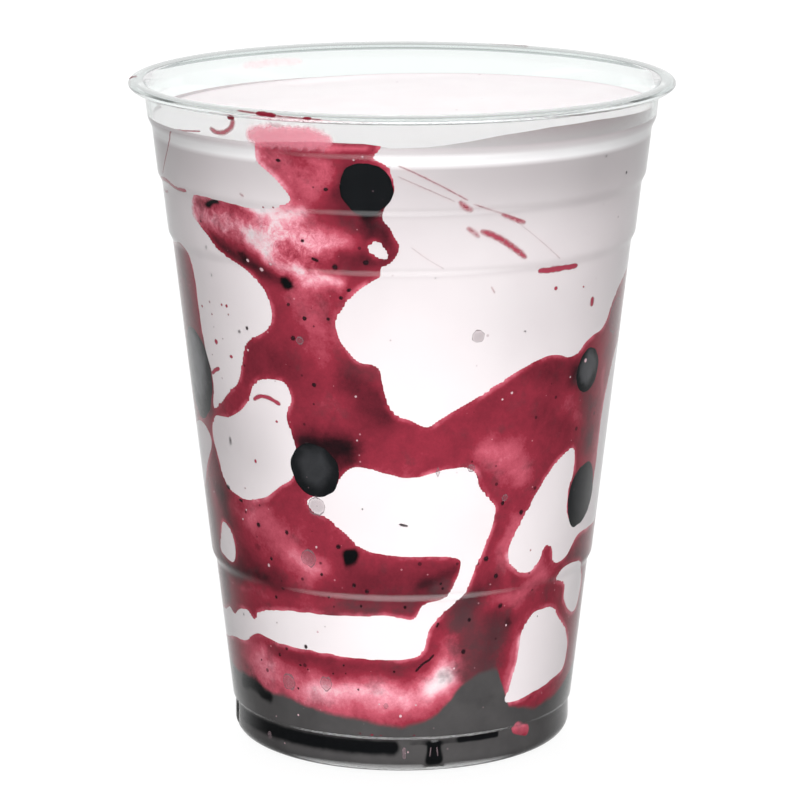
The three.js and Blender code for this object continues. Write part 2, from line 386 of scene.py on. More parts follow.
def makeSauceBody():
    inset = cup["thickness"] - contents["intoWall"]
    profile = fillingProfile(inset, contents["sauceRows"], 0)
    body = turned(profile, "blueberry sauce", contents["sauceSteps"])
    fillTop(body, contents["sauceProud"])
    start, end = contents["sauceThinned"]
    coreTop = contents["level"] + contents["coreAbove"]
    heights = np.linspace(contents["poolHeight"], coreTop, contents["coreRows"])
    depths = [contents["sauceDepth"] + (contents["thinDepth"] - contents["sauceDepth"])
              * smooth((z - start) / (end - start)) for z in heights]
    behind = [(wallRadius(z) - inset - depth, z) for z, depth in zip(heights, depths)]
    core = turned([(0, contents["poolHeight"])] + behind + [(0, coreTop)], "core", contents["coreSteps"])
    wedges = [wedge(line, name) for name, line in outlines.items()]
    carve(body, [core] + wedges)
    dropPieces([core] + wedges)
    return body


def makeShakeBody(tools):
    inset = cup["thickness"] - contents["intoWall"] + contents["shakeBehind"]
    profile = fillingProfile(inset, contents["shakeRows"], contents["poolHeight"])
    body = turned(profile, "milkshake", contents["shakeSteps"])
    fillTop(body)
    carve(body, tools)
    return body


print("contents")
sauce = makeSauceBody()
shake = makeShakeBody([sauce])
print("  sauce", len(sauce.data.polygons), "shake", len(shake.data.polygons))


# The berries.

berryPress = 2  # how much of a berry's depth the wall takes
berryRoom = 0.5  # how far past the wall's inside the room cut for it may bulge
berries = {  # bloom is how pale the pressed face is
    "berry_crown": {"at": (-8, 108.45), "half": (5.7, 5.75, 5.4), "bloom": 0},
    "berry_left": {"at": (-71.5, 71), "half": (8.2, 11.4, 5.6), "bloom": 0.6},
    "berry_middle": {"at": (-24.5, 57), "half": (5.4, 6.2, 5), "bloom": 0.12},
    "berry_right_high": {"at": (58, 72), "half": (4.2, 4.8, 4.2), "bloom": 0.35},
    "berry_right_low": {"at": (63, 48.6), "half": (6.2, 7.6, 5.6), "bloom": 0.05},
    "berry_back_right": {"at": (112, 76), "half": (6, 5.6, 5.4), "bloom": 0.3},
    "berry_back": {"at": (206, 78), "half": (5.6, 6, 5.2), "bloom": 0.15},
    "berry_back_low": {"at": (144, 44), "half": (6, 5.6, 5.2), "bloom": 0.4},
}


def makeBerry(name, berry, press=0):  # press is how far past the wall's inside it may bulge
    angle, height = berry["at"]
    around, up, inward = (half * mm for half in berry["half"])
    distance = (wallRadius(height) - cup["thickness"] + berryPress) * mm - inward
    shownShare = math.sqrt(1 - (1 - berryPress / berry["half"][2]) ** 2)
    bm = bmesh.new()
    face = bm.verts.layers.float.new("face")
    bloom = bm.verts.layers.float.new("bloom")
    bmesh.ops.create_uvsphere(bm, u_segments=72, v_segments=48, radius=1)
    for vert in bm.verts:
        lump = 1 + 0.06 * noise.noise(vert.co * 1.1 + Vector((angle, 0, 0)))
        lump += 0.025 * noise.noise(vert.co * 4 + Vector((0, angle, 0)))
        vert[face] = math.hypot(vert.co.x, vert.co.z) / shownShare if vert.co.y < 0 else 2
        vert[bloom] = berry["bloom"]
        vert.co = Vector((vert.co.x * around, vert.co.y * inward, vert.co.z * up)) * lump
    bmesh.ops.translate(bm, verts=bm.verts, vec=(0, -distance, height * mm))
    turn = Matrix.Rotation(math.radians(angle), 3, "Z")
    bmesh.ops.rotate(bm, verts=bm.verts, cent=(0, 0, 0), matrix=turn)
    for vert in bm.verts:  # pressed flat against the wall
        limit = (wallRadius(vert.co.z / mm) - cup["thickness"] + contents["intoWall"] + press) * mm
        radius = math.hypot(vert.co.x, vert.co.y)
        if radius > limit:
            vert.co.x *= limit / radius
            vert.co.y *= limit / radius
    return newPiece(bm, name)


berryPieces = {name: makeBerry(name, berry) for name, berry in berries.items()}
berryRooms = [makeBerry(name + " room", berry, berryRoom) for name, berry in berries.items()]
carve(sauce, berryRooms)
carve(shake, berryRooms)
dropPieces(berryRooms)
print("berries")


# Colour fields.

def tone(red, green, blue):  # screen values 0-255 to the shaders' linear ones
    def linear(value):
        value /= 255
        return value / 12.92 if value < 0.04045 else ((value + 0.055) / 1.055) ** 2.4
    return (linear(red), linear(green), linear(blue), 1)


# Soft strokes on the wall: (strength, half width, places along the stroke).
thinSauce = [  # the shake shines through
    (0.23, 4.4, [(-56, 17), (-40, 15), (-20, 13.6), (0, 13.4), (13, 17)]),
    (0.08, 2.2, [(-53, 19.4), (-46, 18.4)]),
    (0.18, 2.1, [(-30, 15.4), (-20, 15.8), (-8, 16), (-1, 15)]),
    (0.27, 2.6, [(10, 16), (14.6, 18)]),
    (0.12, 2.8, [(13, 20), (14, 24.4)]),
    (0.17, 4.2, [(-45, 46.4), (-39, 43.4), (-33, 40), (-28, 38)]),
    (0.12, 2.2, [(-32, 40), (-27, 38), (-24, 39)]),
    (0.1, 1.8, [(-58, 46), (-50, 45)]),
    (0.08, 1.8, [(-60, 31), (-40, 31.6), (-20, 32.4)]),
    (0.2, 2.6, [(-33, 112.8), (-27, 110.6), (-22, 108)]),
    (0.22, 2, [(-18, 111.6), (-16, 110)]),
    (0.2, 0.6, [(-33, 115.3), (-20, 115.2), (-8, 115.1)]),
    (0.33, 2.6, [(-30, 99.5), (-24, 98.6), (-18, 98.4), (-13.5, 98)]),
    (0.3, 2.6, [(-59, 101), (-56, 99.8), (-48, 100.2), (-40, 99.4), (-33, 98)]),
    (0.32, 1.9, [(-37, 97), (-33, 94.8), (-30, 93.4), (-26, 93.2)]),
    (0.4, 1.6, [(-35, 102.4), (-28, 102.2), (-23, 103)]),
    (0.36, 1.7, [(-23, 91.4), (-20, 91), (-16.5, 91)]),
    (0.12, 3.4, [(-26, 88), (-22, 84), (-20, 76), (-17, 71)]),
    (0.2, 3, [(25, 60.5), (30, 58.4), (34, 55.6)]),
    (0.12, 2.6, [(50, 66), (54, 63)]),
    (0.12, 2, [(69, 70), (72, 62)]),
    (0.2, 2.4, [(28, 33.4), (36, 31), (41, 33), (46, 35)]),
    (0.2, 1.5, [(37, 13.5), (38, 18), (39.4, 23)]),
    (0.16, 1.8, [(30.6, 38), (31, 42), (34, 46)]),
    (0.12, 2.6, [(70, 57), (72, 52)]),
    (0.12, 3, [(-79, 50), (-70, 46)]),
    (0.22, 2, [(40, 7), (48, 6.4), (53, 5.4)]),
    (0.3, 3, [(140, 49), (150, 52), (158, 50)]),
    (0.26, 4, [(166, 78), (176, 81), (190, 78)]),
    (0.3, 3, [(222, 61), (232, 60), (242, 62)]),
    (0.3, 2.6, [(196, 30), (210, 27), (222, 27)]),
    (0.26, 3, [(114, 40), (124, 38), (134, 41)]),
    (0.3, 2.6, [(244, 78), (252, 76)]),
    (0.32, 2.4, [(166, 16), (184, 15), (204, 17)]),
    (0.26, 2, [(120, 13), (138, 14)]),
    (0.3, 2.6, [(226, 15), (246, 16), (256, 18)]),
    (0.32, 4, [(162, 104), (168, 100), (172, 94)]),
]
thickSauce = [  # dark where the sauce is deep
    (0.3, 3.6, [(-12, 108), (-8, 104.5), (-7, 101.5)]),
    (0.2, 1.8, [(-14, 95.6), (-8, 95.2), (-4, 94.8)]),
    (0.18, 1.6, [(-2.6, 99.4), (-1.6, 97)]),
    (0.26, 1.4, [(-51, 96.2), (-46, 94.8), (-41, 93.2), (-36, 91.8), (-30, 90.2)]),
    (0.12, 1.5, [(-42, 20.4), (-20, 19.8), (0, 19.8), (6, 20.6)]),
    (0.2, 3.4, [(-76, 46), (-74, 34), (-72, 28)]),
    (0.16, 2.6, [(-66, 48), (-60, 44)]),
    (0.18, 2.8, [(-68, 35), (-50, 35.4), (-38, 34)]),
    (0.12, 3, [(-24, 34), (-8, 35), (8, 34)]),
    (0.1, 4, [(-42, 76), (-32, 75.4), (-24, 74)]),
    (0.34, 3.6, [(-27, 60.5), (-22, 60), (-16, 60)]),
    (0.08, 2.6, [(-16, 38), (0, 38), (12, 37.6)]),
    (0.16, 1.4, [(6, 35.6), (12, 36.4), (14, 38.6)]),
    (0.22, 2.6, [(19, 31.4), (24, 33.6), (28, 35.4)]),
    (0.2, 3.2, [(27, 21), (29, 25), (32, 28)]),
    (0.16, 2.6, [(-73, 96), (-73, 86), (-72, 78)]),
    (0.2, 3.4, [(-14, 73.4), (-10, 70.4), (-5, 68.4)]),
    (0.12, 2.5, [(36, 74), (48, 72.5), (54, 72)]),
    (0.1, 3, [(44, 64), (52, 62)]),
    (0.24, 2.4, [(53, 71), (58, 70)]),
    (0.16, 2, [(64, 36.4), (74, 34.4)]),
    (0.24, 2, [(-62, 80), (-62, 72), (-64, 64)]),
    (0.16, 3, [(-63, 54), (-62, 48)]),
    (0.14, 1.4, [(-64, 34), (-50, 34), (-44, 34.6)]),
    (0.2, 5, [(116, 70), (122, 74)]),
    (0.24, 5, [(200, 73), (210, 75)]),
    (0.24, 5, [(146, 40), (152, 40)]),
    (0.2, 2.6, [(178, 44), (196, 45)]),
]
black = [  # nearly black blotches, the painted shadow under the foot's ledge, and painted shade in a notch of the foot
    (0.9, 1.2, [(-29.6, 90.4), (-28.4, 89.4)]),
    (0.6, 0.9, [(-40.6, 94.2), (-39.6, 93.2)]),
    (0.8, 0.6, [(-51.4, 102.2), (-47.2, 103.6)]),
    (1, 1.3, [(-15.2, 40.4), (-12.6, 40.8)]),
    (0.55, 4.4, [(-24, 60), (-19, 60), (-15, 59.6)]),
    (0.7, 2.6, [(-9, 105), (-7.6, 103)]),
    (0.45, 1.1, [(-48, 40.2), (-46.6, 39.8)]),
    (0.4, 1.2, [(-48, 34.3), (-46, 34.2)]),
    (0.5, 1.1, [(33, 27.8), (34.4, 27)]),
    (0.45, 2.4, [(55, 72), (58, 69.6)]),
    (0.6, 1.4, [(-66, 66), (-63, 68), (-62, 74)]),
    (1, 1.6, [(-178, 4), (-150, 4.4), (-110, 4.2), (-78, 4.8), (-50, 4.8), (-20, 4.8), (-3, 4.8)]),
    (0.8, 1.2, [(96, 4.2), (140, 4.4), (178, 4)]),
    (0.6, 0.5, [(3, 5.7), (34, 5.7)]),
    # painted shade filling a notch in the foot
    (1, 1.1, [(9.2, 2.4), (10, 4.6), (11.8, 4.6), (12.6, 2.4)]),
    (0.9, 1, [(10.9, 2.2), (10.9, 4.6)]),
    (0.5, 0.7, [(20, 6), (34, 5.8)]),
    (0.8, 1.8, [(-66, 12.2), (-56, 12.6), (-49, 12)]),
    (0.3, 2.6, [(20, 13), (30, 13)]),
]
smoke = [  # berry skins and juice make the sauce greyer here
    (0.3, 3, [(-57, 101), (-46, 99), (-36, 97)]),
    (0.75, 4, [(21, 20), (22, 25), (19, 30)]),
    (0.5, 3, [(28, 18), (31, 22), (31, 27)]),
    (0.5, 1.6, [(10, 33.8), (18, 36)]),
    (0.55, 2.4, [(58, 70), (61, 64), (63, 57)]),
    (0.25, 2.6, [(-66, 33), (-54, 32.4)]),
    (0.4, 2.6, [(-66, 14.6), (-58, 15)]),
    (0.4, 2, [(-25, 30), (-10, 31.5), (4, 33)]),
    (0.35, 2.2, [(52, 33), (62, 37)]),
    (0.4, 2.4, [(-3, 74), (-12, 76)]),
    (0.4, 4, [(130, 30), (150, 28)]),
    (0.4, 4, [(206, 48), (214, 44)]),
]
marbled = [  # streaky, half mixed with shake
    (1, 4.5, [(-58, 101), (-46, 99.5), (-34, 97.5), (-26, 95)]),
    (0.5, 3.5, [(-30, 101), (-16, 98)]),
    (0.35, 3.5, [(-26, 90), (-16, 90)]),
    (0.3, 3, [(-50, 18), (-30, 16), (0, 15), (14, 22)]),
    (0.5, 3, [(-30, 112), (-16, 110)]),
    (0.9, 4, [(160, 100), (172, 96)]),
    (0.6, 4, [(240, 78), (256, 74)]),
]
redInPool = [  # sauce that hangs in the dark pool
    (1, 1.7, [(42, 5.8), (47, 4.8)]),
    (0.4, 1.2, [(60, 5.4), (66, 5.8)]),
]
poolTop = [(-180, 12), (-130, 14), (-84, 14), (-60, 13.5), (-38, 12), (-28, 11), (-18, 10.2), (-8, 9.2),
           (0, 8.7), (7, 9.8), (12, 11), (16, 13.5), (20, 17), (25, 18.4), (32, 18), (35.5, 14), (38, 11),
           (50, 9), (62, 10), (72, 12), (84, 14), (130, 13), (180, 12)]
paintedShakeShade = [  # painted shade: the shake's side is darker here, towards the top and round the sides, where less light falls
    (0.33, 10, [(-180, 112), (-90, 112), (0, 112), (90, 112), (180, 112)]),
    (0.11, 9, [(-6, 98), (30, 102), (50, 104)]),
    (0.1, 8, [(14, 112), (45, 110)]),
    (0.08, 12, [(-6, 88), (24, 86)]),
    (0.1, 12, [(38, 84), (60, 88), (80, 92)]),
    (0.08, 12, [(-80, 84), (-60, 86), (-48, 82)]),
    (0.16, 8, [(-56, 60), (-45, 58)]),
]


def strokeField(angle, height, strokes):
    # how much of each soft stroke covers arrays of places; the strokes add up
    field = np.zeros(len(angle))
    arc = math.radians(midRadius)
    for strength, halfWidth, path in strokes:
        nearest = np.full(len(angle), 1e9)
        for (angle0, height0), (angle1, height1) in zip(path, path[1:]):
            alongX, alongZ = (angle1 - angle0) * arc, height1 - height0
            x = (angle - angle0 + 180) % 360 - 180
            x = np.where((angle1 - angle0 > 90) & (x < -90), x + 360, x) * arc
            z = height - height0
            share = np.clip((x * alongX + z * alongZ) / (alongX ** 2 + alongZ ** 2), 0, 1)
            nearest = np.minimum(nearest, (x - share * alongX) ** 2 + (z - share * alongZ) ** 2)
        field += strength * np.exp(-nearest / halfWidth ** 2)
    return field


def vertexPoints(piece):  # in millimetres
    points = np.empty(len(piece.data.vertices) * 3)
    piece.data.vertices.foreach_get("co", points)
    return points.reshape(-1, 3) / mm


def wallPlaces(points):  # angle and height of each point
    return np.degrees(np.arctan2(points[:, 0], -points[:, 1])), points[:, 2]


def wandered(points):  # the same, but restless, so that strokes don't look drawn
    angle, height = wallPlaces(points)
    wander = []
    for point in points:
        broad = noise.noise_vector(Vector(point) / 7) * 1.3
        wander.append(broad + noise.noise_vector(Vector(point) / 2.6) * 0.7)
    fade = 4  # the shadow of the foot's ledge keeps straight
    wander = np.array(wander) * np.clip((height - cup["wallStart"][1]) / fade, 0, 1)[:, None]
    return angle + wander[:, 0] / math.radians(midRadius), height + wander[:, 2]


def setField(piece, name, values):
    attribute = piece.data.attributes.new(name, "FLOAT", "POINT")
    attribute.data.foreach_set("value", values.astype(np.float32))


def marginField(angle, height):  # distance to the nearest outline
    points = [point for line in outlines.values() for point in line]
    tree = KDTree(len(points))
    for i, point in enumerate(points):
        tree.insert(Vector((point.x, point.y, 0)), i)
    tree.balance()
    arc = math.radians(midRadius)
    turns = np.where(angle < -95, angle + 360, angle) * arc
    farthest = 9
    return np.array([min(tree.find(Vector((x, z, 0)))[2], farthest) for x, z in zip(turns, height)])


def paintSauce(piece):
    points = vertexPoints(piece)
    angle, height = wallPlaces(points)
    nearAngle, nearHeight = wandered(points)
    poolAngles, poolHeights = zip(*poolTop)
    thick = strokeField(nearAngle, nearHeight, thickSauce)
    setField(piece, "thickness", thick - strokeField(nearAngle, nearHeight, thinSauce))
    setField(piece, "black", np.clip(strokeField(nearAngle, nearHeight, black), 0, 1))
    setField(piece, "smoke", np.clip(strokeField(nearAngle, nearHeight, smoke), 0, 1))
    setField(piece, "marbled", strokeField(nearAngle, nearHeight, marbled))
    pool = np.interp((angle + nearAngle) / 2, poolAngles, poolHeights) - (height + nearHeight) / 2
    lowered = 7  # the pool's top, where red sauce hangs in it
    setField(piece, "pool", pool - lowered * strokeField(nearAngle, nearHeight, redInPool))
    setField(piece, "margin", marginField(angle, height))


def paintShake(piece):
    points = vertexPoints(piece)
    angle, height = wallPlaces(points)
    radius = np.hypot(points[:, 0], points[:, 1])
    onSide = np.clip((radius - wallRadius(contents["level"]) + 1.3) / 0.5, 0, 1)
    onSide = np.where(height < contents["level"] - 3, 1, onSide)
    film = np.clip((height - 114.6) / 1.2, 0, 1) * np.exp(-((angle - 46) / 34) ** 2) * onSide
    # grey is painted shade on the shake's side, plus a little grey in the pink film near the top
    setField(piece, "grey", np.clip(strokeField(angle, height, paintedShakeShade) * onSide + 0.2 * film, 0, 1))
    setField(piece, "blush", film)
    setField(piece, "side", onSide)


paintSauce(sauce)
paintShake(shake)
print("colour fields")


# Smears, drops, seeds, bubbles and painted highlights, as thin lenses between the wall and what it holds.

# (strength, width, places along the mark); a mark of one place is round
smears = [
    (0.35, 0.5, [(-1, 112), (3, 110.6), (9, 108.2), (15, 105.6)]),
    (0.25, 0.4, [(-1, 110.1), (5, 108), (12, 105.5)]),
    (0.5, 1.4, [(12.6, 105.8), (14.6, 104.4), (16.4, 103.6)]),
    (0.3, 0.5, [(16, 105), (22, 103.4), (30, 101)]),
    (0.45, 1.2, [(23, 103), (26.5, 101.8), (30, 100.7)]),
    (0.4, 1.3, [(14.6, 100.9), (16.6, 100), (18.4, 98.7)]),
    (0.6, 1.5, [(18, 100.2), (22, 99), (26, 97.2), (31, 94.4)]),
    (0.2, 0.4, [(27, 101.5), (34, 97.6), (41, 93.6)]), (0.2, 0.4, [(2, 97.6), (6, 95.4), (10, 93.6)]),
    (1, 1.4, [(34.6, 92), (38, 91.8), (42, 91.8), (48.5, 91.7)]),
    (0.9, 0.9, [(40.4, 88.4), (41.8, 88.1)]), (0.7, 0.5, [(51, 87.6), (51.9, 87.4)]),
    (0.8, 1.5, [(56, 85.4), (56.2, 83.2)]), (0.3, 0.5, [(22, 90), (23.2, 88.6)]),
    (0.6, 1.2, [(-39, 118.8), (-40.4, 116.8), (-43.6, 115.8), (-47, 116.4)]),
    (0.6, 0.4, [(-50, 115.5), (-56, 115), (-63, 114.2), (-69, 109.6), (-75, 105.2)]),
    (0.8, 0.9, [(-80, 104), (-72, 104.4), (-66, 103.8), (-60, 104)]),
    (0.6, 0.8, [(-81, 101.8), (-78, 101.6), (-75, 102)]),
    (0.9, 1, [(-43, 67.8), (-40.6, 68.7), (-37.6, 68.8), (-33.4, 67.8)]), (0.9, 0.7, [(-35.3, 64.6)]),
    (1, 0.8, [(-44.2, 56.9), (-44.2, 56)]), (1, 1.2, [(-57.2, 77), (-55.2, 77)]),
    (1, 0.8, [(-50.8, 75), (-49.2, 75)]), (1, 0.9, [(-60.6, 70.6), (-58.4, 71.5), (-55.8, 72.2)]),
    (0.8, 0.7, [(-61.7, 82.8)]), (0.5, 0.7, [(-57.3, 84.1)]), (0.6, 0.6, [(-56.8, 81.9)]),
    (0.6, 0.7, [(-51.8, 84.2)]), (0.9, 0.8, [(-49.8, 84.2)]), (0.6, 0.5, [(-49.4, 82.7)]),
    (0.6, 0.4, [(-59, 74.3)]), (0.5, 0.4, [(-52.9, 77.9)]), (0.5, 0.4, [(-56.6, 79.6)]),
    (0.5, 0.5, [(-49.8, 50.8)]), (0.7, 0.5, [(-33.5, 103.5)]), (0.7, 0.5, [(-30.7, 103.7)]),
    (0.35, 0.7, [(-40, 105.5), (-38.4, 104.9)]), (0.8, 0.5, [(40.3, 40.3)]), (0.5, 0.5, [(-14, 7.4)]),
    (0.6, 0.5, [(-10.6, 7.2), (-9.4, 7.3)]), (0.6, 0.4, [(-7, 7.2)]), (0.6, 0.5, [(4, 7.3)]),
    (0.5, 0.5, [(-42.5, 26.3)]), (0.4, 0.4, [(-24.3, 27.2)]), (0.4, 0.5, [(63, 99), (63.6, 98.6)]),
    (0.7, 0.8, [(100, 100), (108, 97), (113, 96)]), (0.8, 1.2, [(120, 92), (126, 90.6), (134, 90.6)]),
    (0.6, 0.5, [(148, 108), (160, 105), (176, 106)]), (0.9, 1, [(212, 106), (218, 104), (226, 104)]),
    (0.7, 0.6, [(232, 98), (242, 97), (250, 99)]), (0.9, 1, [(170, 60), (172, 59)]),
    (0.8, 0.7, [(236, 62), (237, 61)]),
]
films = [
    (0.8, 5.2, [(-36.4, 116), (-30, 116.3), (-22, 116.4), (-14.5, 115.8)]),
    (0.2, 2.2, [(204, 118), (212, 118.2), (222, 118)]),
]
rimDrips = [
    (0.5, 0.35, [(-35, 120.7), (-25, 120.4), (-16, 120.2)]),
    (1, 0.8, [(-30.6, 120.6), (-28, 120.5), (-25.6, 120.4)]),
    (0.9, 0.6, [(-20, 120.3), (-18, 120.3)]),
    (1, 1.1, [(-41, 118.9), (-38.6, 118.8)]),
    (1, 1, [(-91, 120.8), (-88, 121)]),
    (0.7, 0.5, [(150, 120.8), (160, 120.6)]),
]
seedFlecks = [
    (1, 1.1, [(-28.4, 112.5), (-28.4, 111.6)]), (1, 0.9, [(-17.2, 107.5)]), (0.9, 1.2, [(-16, 93.8)]),
    (1, 1.2, [(-8.5, 94.8)]), (0.9, 1.1, [(-13.3, 90), (-12.6, 89.3)]), (0.9, 0.9, [(-15, 88.2)]),
    (0.7, 0.8, [(-23.8, 98.1)]), (0.7, 0.9, [(-29.1, 86.3)]), (1, 1, [(-24.8, 84.1)]),
    (0.9, 0.8, [(-18.5, 84.3)]), (0.8, 1.2, [(-28.4, 80.3)]), (0.9, 1, [(-23.2, 72.2)]),
    (0.7, 0.9, [(-42.8, 80.9)]), (0.8, 1.3, [(-45.5, 44.5)]), (0.8, 1.1, [(-34.8, 44.2)]),
    (0.9, 0.9, [(-41.4, 38.6)]), (1, 0.8, [(-24, 37.2)]), (0.8, 1.2, [(-18.4, 42.7)]),
    (0.8, 1.1, [(-14.1, 35.7)]), (0.7, 1.2, [(-10.3, 34.7)]), (0.9, 0.7, [(11.3, 36.1)]),
    (0.9, 0.7, [(11.9, 35.2)]), (0.9, 1.3, [(24.9, 40.1)]), (0.9, 1.2, [(28.5, 36.6)]),
    (1, 0.7, [(-12.9, 31.7), (-11.9, 31.7)]), (1, 0.8, [(0.9, 31.7)]), (0.7, 0.8, [(-22.4, 33)]),
    (0.7, 1, [(-41.8, 31.2)]), (0.8, 0.8, [(10.7, 28)]), (0.8, 1, [(20.9, 28.7)]),
    (1, 1, [(-31.6, 22.8)]), (0.7, 0.8, [(-40, 21.7), (-38.6, 21.7)]),
    (0.7, 1, [(-43.2, 20.3), (-41.8, 20.1)]), (0.9, 0.5, [(-52.2, 18.1), (-51.4, 18.1)]),
    (0.9, 0.5, [(-34.8, 19.1), (-33.6, 19.1)]), (0.8, 0.5, [(-31.5, 18.5)]),
    (0.8, 0.5, [(-22.4, 18.4)]), (0.8, 0.6, [(-18.7, 20.2)]),
    (0.8, 0.6, [(-18.4, 18.7), (-17.8, 18.7)]), (0.8, 0.6, [(-3, 19.6), (-2, 19.4)]),
    (1, 0.6, [(-35.8, 14.5)]), (0.9, 0.6, [(-58.4, 13.4)]), (0.7, 0.6, [(-14.1, 15.8)]),
    (0.8, 1.3, [(19.5, 22.8)]), (0.8, 0.6, [(10.1, 22.7), (8.4, 21.6), (6.7, 21), (4.1, 19.4)]),
    (0.9, 1.2, [(35.6, 47.9)]), (0.9, 1, [(29.1, 50.1)]), (0.7, 1.4, [(31.3, 30.6)]),
    (0.8, 0.4, [(46.9, 27)]), (0.8, 0.8, [(11, 28.4)]), (0.8, 1, [(-59.6, 50.2), (-57.4, 49.6)]),
    (0.8, 0.8, [(-53.4, 48.3), (-51.4, 48.1)]), (0.7, 0.6, [(-1, 47.4), (1.8, 47)]),
    (0.5, 0.7, [(-59.6, 25.7)]), (0.4, 1.3, [(-54.5, 60), (-54.5, 58)]),
    (0.3, 1.2, [(-55.4, 94.4), (-54, 94.2)]), (0.35, 1, [(-55.4, 89.2), (-54.4, 89.2)]),
    (0.4, 1, [(-46.4, 79.8), (-45, 80.2)]), (0.6, 0.9, [(32.4, 81.5), (32.4, 81)]),
    (0.35, 0.8, [(52.4, 110.6), (53.4, 111)]), (0.7, 0.8, [(63.3, 106.8)]),
    (0.9, 0.8, [(-21.9, 95.2), (-19.8, 94.6)]), (0.5, 0.5, [(-11, 50)]), (0.5, 0.4, [(8, 92)]),
    (0.9, 1, [(160, 58), (161, 57)]), (0.9, 1, [(184, 74)]), (0.8, 0.9, [(226, 58)]),
    (0.9, 1.1, [(132, 40)]), (0.8, 0.9, [(204, 30)]), (0.9, 1, [(248, 24)]), (0.9, 0.8, [(166, 96)]),
    (0.8, 0.8, [(118, 20)]),
]
# painted highlights: small white glints on the sauce, the berries and the foot, with a few pale specks
paleDotsAndHighlights = [
    (0.9, 0.7, [(-39.8, 93.5)]), (0.7, 1, [(-36.4, 92.6), (-36, 91.6)]), (0.6, 0.9, [(-33, 93.4)]),
    (0.9, 0.6, [(-43.2, 76.9)]), (0.8, 0.5, [(-50.3, 46.7)]), (0.9, 0.5, [(-52.4, 44.7)]),
    (0.6, 0.9, [(-42.7, 37.2)]), (0.7, 0.6, [(-25.2, 42.2)]), (0.9, 0.8, [(-0.5, 11)]),
    (0.8, 0.6, [(16.6, 19.7)]), (0.8, 0.5, [(-7.4, 13.2)]), (0.8, 0.5, [(4.5, 13.1)]),
    (0.8, 0.6, [(-36.7, 9.3)]), (1, 1, [(56.1, 73.6)]), (0.8, 0.4, [(-10.6, 112.9)]),
    (0.8, 0.4, [(-8.6, 113.6)]), (0.7, 0.4, [(-6, 113)]), (0.8, 0.5, [(27, 69.3)]),
    (0.7, 0.7, [(29.7, 70.3)]), (0.8, 0.6, [(34, 26.7)]), (0.5, 0.6, [(49.8, 71.3)]),
    (0.5, 0.5, [(-44, 3)]), (0.5, 0.4, [(-47, 7.9)]), (0.5, 0.5, [(2, 4)]),
    (0.7, 0.6, [(-69.3, 47.5)]), (0.6, 0.6, [(-27, 26)]), (0.6, 0.5, [(-12, 62.6)]),
    (0.6, 0.6, [(-12, 70.6)]),
]
# bubbles, and painted highlights: the first four marks are light glints in the foot, in its notch and
# across its black stripe
bubblesAndFootGlints = [
    (0.3, 0.3, [(9.8, 4.8), (9.4, 3)]), (0.3, 0.3, [(11.8, 4.8), (12.2, 3)]),
    (0.3, 0.9, [(0.6, 5), (0.8, 2.4)]), (1, 1.5, [(-53, 3.8), (-50.6, 3.3)]),
    (0.8, 3.4, [(-28, 39.9)]), (0.7, 3.6, [(-39.5, 15.3)]), (0.7, 3, [(-25.1, 16.3)]),
    (0.9, 3.6, [(-24.4, 49.9)]), (0.6, 2, [(9, 56.8), (10.4, 56.8)]), (0.6, 1.6, [(19, 57.2)]),
    (0.5, 1.6, [(-26.5, 80)]), (0.8, 1.8, [(-5.2, 24.2), (-5.2, 23.6)]), (0.6, 1.1, [(-5.2, 12.9)]),
    (0.9, 2.4, [(17.6, 80.6), (21, 81.6)]), (0.5, 1.4, [(29.7, 51.1)]),
    (0.9, 7, [(68, 79), (73, 79.6), (79, 80.6)]), (0.6, 2.6, [(176, 64)]), (0.7, 2.2, [(222, 30)]),
    (0.6, 2, [(128, 48)]), (0.6, 1.8, [(158, 28)]),
]


markThickness = 0.1


def contactRadius(angle, height):  # of what touches the wall there, of the bare wall, or of the lip
    lip = (height - cup["height"] + cup["lipHalfHeight"]) / cup["lipHalfHeight"]
    if lip > -1:
        return cup["rimRadius"] - cup["lipHalfWidth"] * (1 - math.sqrt(max(0, 1 - lip * lip))) + 0.01
    bare = height > edgeHeight(angle)
    return wallRadius(height) - cup["thickness"] + (-0.05 if bare else contents["intoWall"] + 0.02)


def addMark(bm, cover, strength, width, path):
    arc = math.radians(midRadius)
    points = [Vector((angle * arc, height)) for angle, height in path]
    if len(points) == 1:
        points = [points[0] - Vector((width / 2, 0)), points[0] + Vector((width / 2, 0))]
    line = smoothLine(points, min(0.45, width / 4), closed=False)
    length = sum((b - a).length for a, b in zip(line, line[1:]))
    blunt = max(2, length / width * 1.5)
    grid = bmesh.ops.create_grid(bm, x_segments=len(line) - 1, y_segments=6, size=1)
    for vert in grid["verts"]:
        share, side = vert.co.x, vert.co.y
        index = round((share + 1) / 2 * (len(line) - 1))
        along = (line[min(index + 1, len(line) - 1)] - line[max(index - 1, 0)]).normalized()
        taper = max(0, 1 - abs(share) ** blunt) ** 0.5
        ragged = 1 + 0.35 * noise.noise(Vector((line[index].x, line[index].y, side * 2)) * 1.3)
        point = line[index] + Vector((-along.y, along.x)) * side * width / 2 * taper * ragged
        point.y = min(point.y, cup["height"])
        angle = math.degrees(point.x / midRadius)
        vert.co = onWall(point, contactRadius(angle, point.y) + 0.03 * (1 - side * side) * taper)
        vert[cover] = strength * (1 - side * side) * taper


def makeMarks(name, marks):
    bm = bmesh.new()
    cover = bm.verts.layers.float.new("cover")
    for strength, width, path in marks:
        addMark(bm, cover, strength, width, path)
    bmesh.ops.remove_doubles(bm, verts=bm.verts, dist=0.002 * mm)
    bmesh.ops.dissolve_degenerate(bm, dist=0.001 * mm, edges=bm.edges)
    bmesh.ops.recalc_face_normals(bm, faces=bm.faces)
    bmesh.ops.solidify(bm, geom=bm.faces, thickness=markThickness * mm)
    return newPiece(bm, name)


